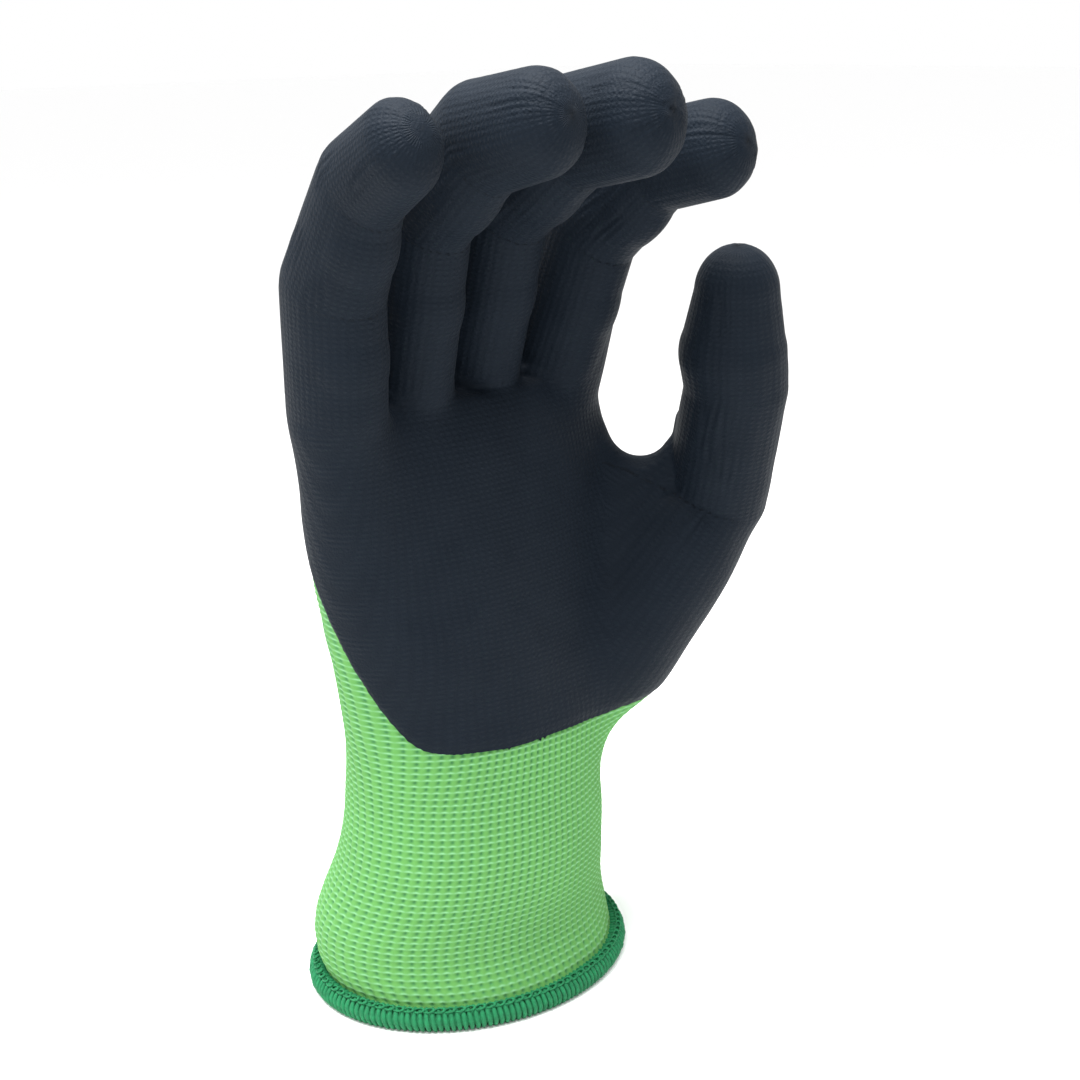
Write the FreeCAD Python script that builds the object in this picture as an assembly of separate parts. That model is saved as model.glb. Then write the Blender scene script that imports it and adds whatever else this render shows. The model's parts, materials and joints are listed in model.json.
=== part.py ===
import FreeCAD, Part
import math
import os
from FreeCAD import Vector

# Seamless knitted work glove with a dipped palm and fingers, for the right hand, as it stands on a
# relaxed hand: fingers up, palm facing -Y, thumb on the +X side. Millimetres and degrees.
# The origin is the centre of the hand opening at the bottom of the cuff hem.

liner_wall = 1.2
coat_wall = 0.8
full_wall = liner_wall + coat_wall
fold_gap = 0.4        # half the width of a fold at the hinge line
fold_margin = 6.0     # degrees a fold opens beyond the hinge's own range
slot_reach = 80.0     # larger than any section of the glove
finger_reach = 20.0   # larger than a finger's section, to each side of its centre
thumb_reach = 30.0
joint_reach = 2.0     # how far a fold's window reaches past the finger's radius
root_reach = 14.0     # the same where a finger leaves the palm
run_on = 8.0          # how far a tube runs on past a joint before it is cut
swelling_run_on = 14.0

# ovals of the hand opening and of the sleeve from cuff to knuckles: height, centre x, centre y, half
# width and half depth of the coated surface; the bare knit lies one coat thickness inside it
hem_oval = (2.6, 0.0, 0.0, 39.6, 33.0)
hem_radius = 2.6
sleeve_ovals = [
    (5.2, 0.0, 0.0, 39.4, 32.8),
    (28.0, 0.5, 0.0, 36.8, 30.3),
    (52.0, 4.0, 0.0, 35.3, 27.8),
    (68.0, 4.5, 0.0, 37.2, 25.6),
    (84.0, 3.4, -1.0, 39.7, 23.2),
    (102.0, 2.0, -1.0, 42.2, 20.6),
    (120.0, 0.5, -1.0, 43.5, 17.5),
    (139.0, 0.0, -1.0, 43.5, 13.0),
]
elastic_count = 8
elastic_thickness = 0.7
elastic_gap = 0.05
elastic_first_z = 8.0
elastic_pitch = 4.0
wrist_height = 46.0
wrist_range = (-40.0, 40.0)
wrist_waist = 1.5     # half the width of the wrist fold at the hinge line

# the dip line: level across the palm, slanting up the sides, and level again across the knuckles
dip_front_z = 64.5
dip_corner_y = -13.0
dip_slope = 2.9
dip_back_z = 136.0

# fingers: knuckle, sideways lean, bend at each joint at rest, phalanx lengths, outer radii, bend ranges
fingers = {
    "little": {
        "knuckle": Vector(-36.1, -4.7, 144.2), "lean": -5.5, "bends": (9.0, 24.0, 29.0),
        "lengths": (29.4, 26.7, 15.7), "radii": (10.3, 10.0, 9.6, 9.2),
        "ranges": ((-9.0, 62.0), (-24.0, 58.0), (-29.0, 32.0)),
    },
    "ring": {
        "knuckle": Vector(-14.3, -0.2, 149.0), "lean": -4.4, "bends": (18.5, 34.5, 25.5),
        "lengths": (40.4, 27.5, 18.4), "radii": (10.4, 10.1, 9.8, 9.5),
        "ranges": ((-18.5, 55.0), (-34.5, 52.0), (-25.5, 32.0)),
    },
    "middle": {
        "knuckle": Vector(7.6, 2.6, 149.5), "lean": -4.8, "bends": (22.5, 35.5, 21.5),
        "lengths": (42.0, 29.7, 19.7), "radii": (10.5, 10.2, 10.0, 9.8),
        "ranges": ((-22.5, 52.0), (-35.5, 52.0), (-21.5, 32.0)),
    },
    "index": {
        "knuckle": Vector(29.0, -0.1, 147.1), "lean": 1.5, "bends": (24.0, 30.0, 24.0),
        "lengths": (37.0, 25.5, 16.4), "radii": (10.4, 10.1, 9.8, 9.5),
        "ranges": ((-24.0, 50.0), (-30.0, 55.0), (-24.0, 32.0)),
    },
}
phalanges = ("proximal", "middle", "tip")
folds = ("root_fold", "middle_fold", "tip_fold")
knuckle_root_z = 92.0       # where the knuckle swellings sink into the palm
knuckle_root_radius = 8.0
knuckle_root_spread = 0.78  # of the knuckle's own x

# thumb: its base axis, the radii along it, and the two free joints
thumb_root = Vector(19.6, -1.7, 50.2)
thumb_swing_at = Vector(30.0, -8.0, 66.0)
thumb_knuckle = Vector(60.5, -26.6, 112.5)
thumb_joint = Vector(57.0, -36.5, 142.3)
thumb_tip = Vector(53.4, -39.6, 165.5)
thumb_profile = [(0.0, 8.0), (20.0, 15.0), (33.0, 19.0), (58.0, 16.4), (78.6, 12.6)]
thumb_radii = (12.6, 12.0, 10.9)
thumb_axis = Vector(0.12, 0.94, 0.32)
thumb_swing_range = (-4.0, 20.0)
thumb_knuckle_range = (-32.0, 12.0)
thumb_tip_range = (-40.0, 15.0)
thumb_base_start = 61.0     # along the base axis, where the free base starts
web_normal = Vector(0.84, -0.53, -0.12)
web_offset = 25.5


def save(name, shape):
    shape.exportStep("parts/" + name + ".step")


def unit(vector):
    copy = Vector(vector)
    copy.normalize()
    return copy


def ovalWire(oval, inset=0.0):
    z, x, y, width, depth = oval
    return Part.Wire([Part.Ellipse(Vector(x, y, z), width - inset, depth - inset).toShape()])


def loft(ovals, inset=0.0):
    return Part.makeLoft([ovalWire(oval, inset) for oval in ovals], True, False)


# the solid on the far side of a plane
def halfSpace(point, normal):
    box = Part.makeBox(4 * slot_reach, 4 * slot_reach, 4 * slot_reach)
    box.translate(Vector(-2 * slot_reach, -2 * slot_reach, 0))
    turn = FreeCAD.Rotation(Vector(0, 0, 1), normal)
    box.Placement = FreeCAD.Placement(point, turn).multiply(box.Placement)
    return box


# a solid of revolution about the line from start along direction, from (distance, radius) stations
def turned(start, direction, stations, dome=False):
    points = [Vector(0, 0, stations[0][0])]
    points += [Vector(radius, 0, distance) for distance, radius in stations]
    edges = [Part.makeLine(a, b) for a, b in zip(points, points[1:])]
    distance, radius = stations[-1]
    if dome:
        top = Vector(0, 0, distance + radius)
        side = radius * math.sqrt(0.5)
        edges.append(Part.Arc(points[-1], Vector(side, 0, distance + side), top).toShape())
    else:
        top = Vector(0, 0, distance)
        edges.append(Part.makeLine(points[-1], top))
    edges.append(Part.makeLine(top, points[0]))
    solid = Part.Face(Part.Wire(edges)).revolve(Vector(0, 0, 0), Vector(0, 0, 1), 360)
    solid.Placement = FreeCAD.Placement(start, FreeCAD.Rotation(Vector(0, 0, 1), direction))
    return solid


# the directions of a fold: along the sleeve, and towards the side that closes as the hinge turns forward
def foldFrame(joint):
    axis = unit(joint["axis"])
    along = unit(joint["before"]) + unit(joint["after"])
    along = unit(along - axis * along.dot(axis))
    return axis, along, unit(axis.cross(along))


# one edge of a fold, seen along its hinge: forward is 1 for the moving side and -1 for the fixed side
def foldEdge(joint, forward, reach):
    axis, along, side = foldFrame(joint)
    low, high = joint["range"]
    waist = joint.get("waist", fold_gap)
    closing = waist + reach * math.tan(math.radians((high + fold_margin) / 2))
    opening = waist + reach * math.tan(math.radians((fold_margin - low) / 2))
    return [
        joint["at"] + side * reach + along * (forward * closing),
        joint["at"] + along * (forward * waist),
        joint["at"] - side * reach + along * (forward * opening),
    ]


# the straight edge through the hinge where two sleeves meet
def mitreEdge(joint, reach):
    side = foldFrame(joint)[2]
    return [joint["at"] + side * reach, joint["at"] - side * reach]


# an edge moved away along the sleeve, to close a window beyond the part
def farEdge(edge, direction, distance):
    return [point + unit(direction) * distance for point in edge]


# the prism between two edges, along the hinge from near to far
def window(first, second, axis, near, far):
    across = unit(axis)
    points = [point - across * (point - first[0]).dot(across) for point in first + second[::-1]]
    face = Part.Face(Part.makePolygon(points + points[:1]))
    face.translate(across * near)
    return face.extrude(across * (far - near))


# the part of a solid that lies in a window, in layers: coat, liner or the full wall
def layer(outer, inner, region):
    return outer.common(region).cut(inner)


def fingerJoints(finger):
    angle = 0.0
    place = finger["knuckle"]
    lean = math.radians(finger["lean"])
    direction = Vector(0, 0, 1)
    joints = []
    for bend, length, limits in zip(finger["bends"], finger["lengths"], finger["ranges"]):
        before = direction
        angle += math.radians(bend)
        forward, upright = -math.sin(angle), math.cos(angle)
        direction = Vector(math.sin(lean) * upright, forward, math.cos(lean) * upright)
        joints.append({
            "at": place, "axis": Vector(1, 0, 0), "before": before, "after": direction,
            "range": limits, "length": length,
        })
        place = place + direction * length
    return joints


# one phalanx as a tapered tube, running on past both of its joints
def fingerTube(finger, joints, number, inset):
    joint = joints[number]
    start, end = finger["radii"][number], finger["radii"][number + 1]
    length = joint["length"]
    taper = (end - start) / length
    stations = [(-run_on, start - taper * run_on - inset)]
    if number == 2:
        stations.append((length, end - inset))
        return turned(joint["at"], joint["after"], stations, dome=True)
    stations.append((length + run_on, end + taper * run_on - inset))
    return turned(joint["at"], joint["after"], stations)


# a fold: the fixed sleeve up to the mitre and the moving sleeve from there on, at full wall
def makeFold(joint, fixed, moving, reach, near, far):
    axis = joint["axis"]
    mitre = mitreEdge(joint, reach)
    lower = window(foldEdge(joint, -1, reach), mitre, axis, near, far)
    upper = window(mitre, foldEdge(joint, 1, reach), axis, near, far)
    return Part.makeCompound([layer(fixed[0], fixed[1], lower), layer(moving[0], moving[1], upper)])


def makeFinger(name, finger, palm):
    joints = fingerJoints(finger)
    reach = max(finger["radii"]) + joint_reach
    axis = Vector(1, 0, 0)
    near, far = finger["slot"]
    fixed = palm
    for number, joint in enumerate(joints):
        outer = fingerTube(finger, joints, number, 0.0)
        middle = fingerTube(finger, joints, number, coat_wall)
        inner = fingerTube(finger, joints, number, full_wall)
        depth = reach if number else max(finger["radii"]) + root_reach
        sides = (near - joint["at"].x, far - joint["at"].x) if number == 0 else (-finger_reach, finger_reach)
        save(name + "_" + folds[number], makeFold(joint, fixed, (outer, inner), depth, *sides))
        first = foldEdge(joint, 1, reach)
        if number < 2:
            last = foldEdge(joints[number + 1], -1, reach)
        else:
            last = farEdge(first, joint["after"], slot_reach)
        region = window(first, last, axis, -finger_reach, finger_reach)
        save(name + "_" + phalanges[number] + "_coat", layer(outer, middle, region))
        save(name + "_" + phalanges[number] + "_liner", layer(middle, inner, region))
        fixed = (outer, inner)


# the sleeve from cuff to knuckles, with a closed top
def makeSleeve(inset):
    z, x, y, width, depth = sleeve_ovals[-1]
    return loft(sleeve_ovals[:-1] + [(z - inset, x, y, width, depth)], inset)


# the sleeve with its knuckle swellings, as one closed form
def makePalmForm(inset):
    form = makeSleeve(inset)
    for finger in fingers.values():
        knuckle = finger["knuckle"]
        start = Vector(knuckle.x * knuckle_root_spread, knuckle.y, knuckle_root_z)
        height = (knuckle - start).Length
        radius = finger["radii"][0] - inset
        stations = [(0.0, knuckle_root_radius - inset), (height, radius), (height + swelling_run_on, radius)]
        form = form.fuse(turned(start, knuckle - start, stations))
    return form


def makeThumbBase(inset, end=None):
    stations = [(distance, radius - inset) for distance, radius in thumb_profile]
    if end is None:
        stations.append((stations[-1][0] + run_on, stations[-1][1]))
    else:
        stations = [station for station in stations if station[0] < end]
        before, after = thumb_profile[-2], thumb_profile[-1]
        share = (end - before[0]) / (after[0] - before[0])
        stations.append((end, before[1] + share * (after[1] - before[1]) - inset))
    return turned(thumb_root, thumb_knuckle - thumb_root, stations)


def thumbJoints():
    base = thumb_knuckle - thumb_root
    first = thumb_joint - thumb_knuckle
    second = thumb_tip - thumb_joint
    return [
        {
            "at": thumb_knuckle, "axis": thumb_axis, "before": base, "after": first,
            "range": thumb_knuckle_range,
        },
        {
            "at": thumb_joint, "axis": thumb_axis, "before": first, "after": second,
            "range": thumb_tip_range,
        },
    ]


def thumbTube(number, inset):
    ends = (thumb_knuckle, thumb_joint, thumb_tip)
    start, end = ends[number], ends[number + 1]
    length = (end - start).Length
    first, last = thumb_radii[number] - inset, thumb_radii[number + 1] - inset
    taper = (last - first) / length
    stations = [(-run_on, first - taper * run_on)]
    if number == 1:
        stations.append((length, last))
        return turned(start, end - start, stations, dome=True)
    stations.append((length + run_on, last + taper * run_on))
    return turned(start, end - start, stations)


def makeThumb():
    joints = thumbJoints()
    reach = max(thumb_radii) + joint_reach
    start = thumb_root + unit(thumb_knuckle - thumb_root) * thumb_base_start
    beyond = halfSpace(start, thumb_knuckle - thumb_root)
    base = [makeThumbBase(inset) for inset in (0.0, coat_wall, full_wall)]
    last = foldEdge(joints[0], -1, 2 * reach)
    below = farEdge(last, thumb_root - thumb_knuckle, slot_reach)
    region = window(below, last, thumb_axis, -thumb_reach, thumb_reach)
    region = region.common(beyond)
    save("thumb_base_coat", layer(base[0], base[1], region))
    save("thumb_base_liner", layer(base[1], base[2], region))
    fixed = (base[0], base[2])
    nodes = (("thumb_proximal", "thumb_root_fold"), ("thumb_tip", "thumb_tip_fold"))
    for number, (name, fold) in enumerate(nodes):
        joint = joints[number]
        outer, middle, inner = [thumbTube(number, inset) for inset in (0.0, coat_wall, full_wall)]
        save(fold, makeFold(joint, fixed, (outer, inner), reach, -thumb_reach, thumb_reach))
        first = foldEdge(joint, 1, reach)
        if number == 0:
            last = foldEdge(joints[1], -1, reach)
        else:
            last = farEdge(first, joint["after"], slot_reach)
        region = window(first, last, thumb_axis, -thumb_reach, thumb_reach)
        save(name + "_coat", layer(outer, middle, region))
        save(name + "_liner", layer(middle, inner, region))
        fixed = (outer, inner)


def wristJoint():
    return {
        "at": Vector(0, 0, wrist_height), "axis": Vector(1, 0, 0),
        "before": Vector(0, 0, 1), "after": Vector(0, 0, 1), "range": wrist_range, "waist": wrist_waist,
    }


def makeCuff():
    # hem: a roll of overlock thread round the hand opening
    z, x, y, width, depth = hem_oval
    section = Part.Wire([Part.Circle(Vector(x + width, y, z), Vector(0, 1, 0), hem_radius).toShape()])
    hem = ovalWire(hem_oval).makePipeShell([section], True, False)
    outer = makeSleeve(coat_wall)
    inner = makeSleeve(full_wall)
    save("cuff_hem", hem.cut(outer))
    wrist = wristJoint()
    edge = foldEdge(wrist, -1, slot_reach)
    below = farEdge(edge, Vector(0, 0, -1), 2 * slot_reach)
    save("cuff_knit", layer(outer, inner, window(below, edge, wrist["axis"], -slot_reach, slot_reach)))
    # the sleeve of knit that folds as the wrist bends
    sleeve = window(edge, foldEdge(wrist, 1, slot_reach), wrist["axis"], -slot_reach, slot_reach)
    save("wrist_knit", layer(outer, inner, sleeve))
    # elastic threads laid in the cuff's courses, on its inner face
    outside = makeSleeve(full_wall + elastic_gap)
    band = outside.cut(makeSleeve(full_wall + elastic_gap + elastic_thickness))
    rings = []
    for number in range(elastic_count):
        z = elastic_first_z + elastic_pitch * number
        slab = Part.makeBox(2 * slot_reach, 2 * slot_reach, elastic_thickness)
        slab.translate(Vector(-slot_reach, -slot_reach, z))
        rings.append(band.common(slab))
    save("cuff_elastic", Part.makeCompound(rings))


def makePalm():
    forms = [makePalmForm(inset) for inset in (0.0, coat_wall, full_wall)]
    thumbs = [makeThumbBase(inset) for inset in (0.0, coat_wall, full_wall)]
    whole = [form.fuse(thumb) for form, thumb in zip(forms, thumbs)]
    web_point = web_normal * (web_offset / web_normal.dot(web_normal))
    near_side = halfSpace(web_point, web_normal * -1)
    far_side = halfSpace(web_point, web_normal)
    wrist = wristJoint()
    edge = foldEdge(wrist, 1, slot_reach)
    top = farEdge(edge, Vector(0, 0, 1), 3 * slot_reach)
    above = window(edge, top, wrist["axis"], -slot_reach, slot_reach)
    region = above.common(near_side)
    for finger in fingers.values():
        joint = fingerJoints(finger)[0]
        near, far = finger["slot"]
        reach = max(finger["radii"]) + root_reach
        edge = foldEdge(joint, -1, reach)
        top = farEdge(edge, Vector(0, 0, 1), slot_reach)
        sides = (near - joint["at"].x, far - joint["at"].x)
        region = region.cut(window(edge, top, joint["axis"], *sides))
    corner = Vector(0, dip_corner_y, dip_front_z)
    dipped = halfSpace(corner, Vector(0, 0, 1)).common(halfSpace(corner, Vector(0, -dip_slope, 1)))
    dipped = dipped.fuse(halfSpace(Vector(0, 0, dip_back_z), Vector(0, 0, 1)))
    save("palm_liner", layer(whole[1], whole[2], region))
    save("palm_coat", layer(whole[0], whole[1], region.common(dipped)))
    # the web between the palm and the free base of the thumb
    outer = forms[0].fuse(makeThumbBase(0.0, thumb_base_start))
    save("thumb_web", outer.cut(whole[2]).common(far_side).common(above))
    return (forms[0], forms[2])


# each finger's slot runs from halfway to one neighbour to halfway to the other
names = list(fingers)
places = [fingers[name]["knuckle"].x for name in names]
middles = [(a + b) / 2 for a, b in zip(places, places[1:])]
for name, near, far in zip(names, [-slot_reach] + middles, middles + [slot_reach]):
    fingers[name]["slot"] = (near, far)

makeCuff()
palm = makePalm()
for name, finger in fingers.items():
    makeFinger(name, finger, palm)
makeThumb()
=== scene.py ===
import json
import math

import bpy
import numpy as np
from mathutils import Matrix, Vector, noise
from mathutils.bvhtree import BVHTree


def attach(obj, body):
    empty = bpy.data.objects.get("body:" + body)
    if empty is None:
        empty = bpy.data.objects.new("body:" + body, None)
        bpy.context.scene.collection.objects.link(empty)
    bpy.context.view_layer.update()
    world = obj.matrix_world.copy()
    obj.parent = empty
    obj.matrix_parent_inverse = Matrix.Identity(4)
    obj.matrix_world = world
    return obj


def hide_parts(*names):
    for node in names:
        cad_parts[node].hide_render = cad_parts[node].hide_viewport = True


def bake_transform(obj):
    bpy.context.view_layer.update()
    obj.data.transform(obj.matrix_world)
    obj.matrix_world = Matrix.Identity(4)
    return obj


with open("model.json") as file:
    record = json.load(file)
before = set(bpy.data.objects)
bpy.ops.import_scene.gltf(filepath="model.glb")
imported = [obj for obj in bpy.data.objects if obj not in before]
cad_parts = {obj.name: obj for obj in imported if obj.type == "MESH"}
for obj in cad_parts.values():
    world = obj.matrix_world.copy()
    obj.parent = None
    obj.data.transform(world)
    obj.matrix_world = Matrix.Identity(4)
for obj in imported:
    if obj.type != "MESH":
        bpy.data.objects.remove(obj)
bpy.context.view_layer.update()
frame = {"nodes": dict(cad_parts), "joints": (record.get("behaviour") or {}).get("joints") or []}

# Knitted work glove with a dipped palm and fingers. Lengths below are millimetres unless named
# otherwise; meshes are metres, in the CAD frame: fingers up, palm facing -Y, thumb on the +X side.
mm = 0.001
joints = {joint["name"]: joint for joint in frame["joints"]}
fingerNames = ("little", "ring", "middle", "index")


def jointAt(name):
    return Vector(joints[name]["pos_m"]) / mm


def pick(*objects):
    bpy.ops.object.select_all(action="DESELECT")
    for obj in objects:
        obj.select_set(True)
    bpy.context.view_layer.objects.active = objects[0]


def applyModifier(obj, kind, **settings):
    pick(obj)
    modifier = obj.modifiers.new(kind.title(), kind)
    for key, value in settings.items():
        setattr(modifier, key, value)
    bpy.ops.object.modifier_apply(modifier=modifier.name)


def readPoints(obj):
    flat = np.empty(len(obj.data.vertices) * 3, np.float32)
    obj.data.vertices.foreach_get("co", flat)
    return flat.reshape(-1, 3).astype(float) / mm


def writePoints(obj, points):
    obj.data.vertices.foreach_set("co", (points * mm).astype(np.float32).ravel())
    obj.data.update()


def readNormals(obj):
    flat = np.empty(len(obj.data.vertices) * 3, np.float32)
    obj.data.vertices.foreach_get("normal", flat)
    return flat.reshape(-1, 3).astype(float)


def readCentres(obj):
    flat = np.empty(len(obj.data.polygons) * 3, np.float32)
    obj.data.polygons.foreach_get("center", flat)
    return flat.reshape(-1, 3).astype(float) / mm


# Opens the object in edit mode with only these faces selected.
def editFaces(obj, mask):
    pick(obj)
    bpy.context.tool_settings.mesh_select_mode = (False, False, True)
    bpy.ops.object.mode_set(mode="EDIT")
    bpy.ops.mesh.select_all(action="DESELECT")
    bpy.ops.object.mode_set(mode="OBJECT")
    obj.data.polygons.foreach_set("select", np.asarray(mask, bool))
    bpy.ops.object.mode_set(mode="EDIT")


def objectMode():
    bpy.ops.object.mode_set(mode="OBJECT")


def smoothStep(x):
    x = np.clip(x, 0.0, 1.0)
    return x * x * (3 - 2 * x)


# The glove's form.
form = {
    "voxel": 0.55,              # of the outer skin
    "smoothing": 4,
    "palmSmoothing": 330,       # rounds off where fingers and thumb run into the palm
    "palmSmoothTop": 143.0,
    "palmSmoothBottom": 50.0,
    "thumbHold": 14.5,          # the thumb's free part is left as it is within this distance
    "padShift": 2.4,            # the soft pads on the palm side between a finger's joints
    "padShare": 0.95,
    "ringPitch": 4.0,           # of the elastic rings, which lie this far inside the sleeve
    "ringInset": 2.05,
    "ringPoints": 96,
    "ringCount": 34,
    "ovals": [                  # height, centre x, centre y, half width, half depth
        (5.2, 0.0, 0.0, 39.4, 32.8),
        (28.0, 0.5, 0.0, 36.8, 30.3),
        (52.0, 4.1, 0.0, 35.4, 27.8),
        (60.0, 6.5, 0.0, 38.6, 26.8),
        (68.0, 8.2, 0.0, 41.3, 25.6),
        (84.0, 3.2, -1.0, 40.2, 23.2),
        (102.0, 1.6, -1.0, 42.8, 20.6),
        (120.0, 0.2, -1.0, 44.0, 17.5),
        (139.0, 0.0, -1.0, 43.5, 13.0),
        (145.0, 0.0, -1.0, 40.5, 9.5),
    ],
    "squeeze": 0.87,            # a finger's width, of its mean
    "depth": 1.10,              # a finger's depth, of its mean
    "radii": {
        "little": (11.6, 11.9, 9.8, 9.2),
        "ring": (11.6, 11.2, 11.0, 10.0),
        "middle": (11.8, 11.5, 11.1, 10.9),
        "index": (12.3, 11.7, 10.0, 9.7),
        "thumb": (12.7, 12.3, 10.0),
    },
    "tipLengths": {"little": 16.5, "ring": 18.4, "middle": 19.7, "index": 17.5},
    "tipBends": {"little": 29.0, "ring": 25.5, "middle": 21.5, "index": 24.0},
    "knuckleRootZ": 92.0,
    "knuckleRootRadius": 9.0,
    "knuckleSpread": 0.78,
    "thumbRoot": Vector((19.6, -1.7, 50.2)),
    "thumbTip": Vector((53.4, -39.6, 165.5)),
    "thumbProfile": [(0.0, 8.0), (20.0, 14.4), (33.0, 18.4), (58.0, 16.4), (78.6, 12.6)],
    "thumbBelly": (0.36, 12.9),  # share of the last phalanx, radius
    "thumbBellyShift": Vector((-0.7, 0.6, 0.0)),
    "indexSide": (Vector((2.3, -0.6, -4.0)), 11.3),  # shift from the knuckle, radius
    "thumbBulge": (Vector((53.0, -22.0, 101.0)), 16.3),
    "webCentre": Vector((46.5, -15.2, 131.8)),
    "webAcross": Vector((0.735, -0.677, 0.0)),
    "webRadius": 12.7,
    "webThickness": 4.6,
    "webFoot": Vector((38.0, -14.0, 100.0)),
}


# The ovals of the sleeve round the rings of a CAD node that lies this far inside it.
def measureRings(node, wall):
    points = readPoints(frame["nodes"][node])
    level = np.round(points[:, 2] / form["ringPitch"])
    ovals = []
    for k in np.unique(level):
        ring = points[level == k]
        low, high = ring.min(0), ring.max(0)
        (x, y, z), (width, depth, _) = (low + high) / 2, (high - low) / 2 + wall
        ovals.append((z, x, y, width, depth))
    return ovals


measured = measureRings("cuff_elastic", form["ringInset"])
above = [oval for oval in form["ovals"] if oval[0] > measured[-1][0] + form["ringPitch"]]
ovalTable = np.array([form["ovals"][0]] + measured + above)


# The sleeve's oval at a height: centre x, centre y, half width, half depth.
def ovalAt(z):
    table = ovalTable
    heights = table[:, 0]
    slopes = np.gradient(table[:, 1:], heights, axis=0)
    k = int(np.clip(np.searchsorted(heights, z) - 1, 0, len(heights) - 2))
    span = heights[k + 1] - heights[k]
    t = float(np.clip((z - heights[k]) / span, -0.5, 1.0))
    a, b = table[k, 1:], table[k + 1, 1:]
    rise = (2 * t ** 3 - 3 * t ** 2 + 1, t ** 3 - 2 * t ** 2 + t, 3 * t ** 2 - 2 * t ** 3, t ** 3 - t ** 2)
    return rise[0] * a + rise[1] * span * slopes[k] + rise[2] * b + rise[3] * span * slopes[k + 1]


# The four points of a finger's centre line: knuckle, middle joint, tip joint and tip centre.
def fingerLine(name):
    points = [jointAt(name + "_" + joint) for joint in ("knuckle", "middle_joint", "tip_joint")]
    last = points[2] - points[1]
    lean = math.atan2(last.x, math.hypot(last.y, last.z))
    bend = math.atan2(-last.y, last.z) + math.radians(form["tipBends"][name])
    along = Vector((math.sin(lean), -math.sin(bend) * math.cos(lean), math.cos(bend) * math.cos(lean)))
    return points + [points[2] + along * form["tipLengths"][name]]


lines = {name: fingerLine(name) for name in fingerNames}
lines["thumb"] = [jointAt("thumb_knuckle"), jointAt("thumb_tip_joint"), form["thumbTip"]]


# A tapered rod between two points, its width across X and its depth at right angles to it.
def addRod(start, end, startRadius, endRadius, width=1.0, depth=1.0):
    along = (end - start).normalized()
    side = (Vector((1, 0, 0)) - along * along.x).normalized()
    turn = Matrix((side, along.cross(side), along)).transposed()
    bpy.ops.mesh.primitive_cone_add(
        vertices=48, radius1=startRadius * mm, radius2=endRadius * mm, depth=(end - start).length * mm,
        location=(start + end) * (mm / 2), rotation=turn.to_euler(), scale=(width, depth, 1.0))
    return bpy.context.object


def addBall(centre, radius, along, width=1.0, depth=1.0, length=1.0):
    side = (Vector((1, 0, 0)) - along * along.x).normalized()
    turn = Matrix((side, along.cross(side), along)).transposed()
    bpy.ops.mesh.primitive_uv_sphere_add(
        segments=48, ring_count=24, radius=radius * mm, location=centre * mm,
        rotation=turn.to_euler(), scale=(width, depth, length))
    return bpy.context.object


# The hand's sleeve from cuff to knuckles: a disc extruded ring by ring.
def addSleeve():
    bottom, top = form["ovals"][0][0] - 5.0, form["ovals"][-1][0]
    levels = np.linspace(bottom, top, form["ringCount"])
    x, y, width, depth = ovalAt(levels[0])
    bpy.ops.mesh.primitive_cylinder_add(
        vertices=form["ringPoints"], radius=mm, depth=0.2 * mm, location=Vector((x, y, levels[0])) * mm)
    sleeve = bpy.context.object
    pick(sleeve)
    bpy.ops.object.transform_apply(location=True, rotation=True, scale=True)
    editFaces(sleeve, np.ones(len(sleeve.data.polygons), bool))
    bpy.ops.transform.resize(value=(width, depth, 1.0), center_override=Vector((x, y, levels[0])) * mm)
    objectMode()
    editFaces(sleeve, [p.normal.z > 0.9 for p in sleeve.data.polygons])
    last = (x, y, width, depth, levels[0])
    for z in levels[1:]:
        x, y, width, depth = ovalAt(z)
        step = Vector((x - last[0], y - last[1], z - last[4])) * mm
        bpy.ops.mesh.extrude_region_move(TRANSFORM_OT_translate={"value": step})
        bpy.ops.transform.resize(
            value=(width / last[2], depth / last[3], 1.0), center_override=Vector((x, y, z)) * mm)
        last = (x, y, width, depth, z)
    objectMode()
    return sleeve


def addFinger(name):
    points = lines[name]
    radii = form["radii"][name]
    width, depth = form["squeeze"], form["depth"]
    parts = []
    for k in range(3):
        along = (points[k + 1] - points[k]).normalized()
        parts.append(addRod(points[k], points[k + 1], radii[k], radii[k + 1], width, depth))
        parts.append(addBall(points[k], radii[k], along, width, depth, depth))
    parts.append(addBall(points[3], radii[3], along, width, depth, 1.02))
    for k in range(2):
        along = (points[k + 1] - points[k]).normalized()
        palmWay = (Vector((1, 0, 0)) - along * along.x).normalized().cross(along)
        radius = form["padShare"] * (radii[k] + radii[k + 1]) / 2
        centre = points[k].lerp(points[k + 1], 0.52) + palmWay * form["padShift"]
        parts.append(addBall(centre, radius, along, width, 1.0, 1.45))
    foot = Vector((points[0].x * form["knuckleSpread"], points[0].y, form["knuckleRootZ"]))
    parts.append(addRod(foot, points[0], form["knuckleRootRadius"], radii[0], 1.0, 1.0))
    return parts


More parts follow.
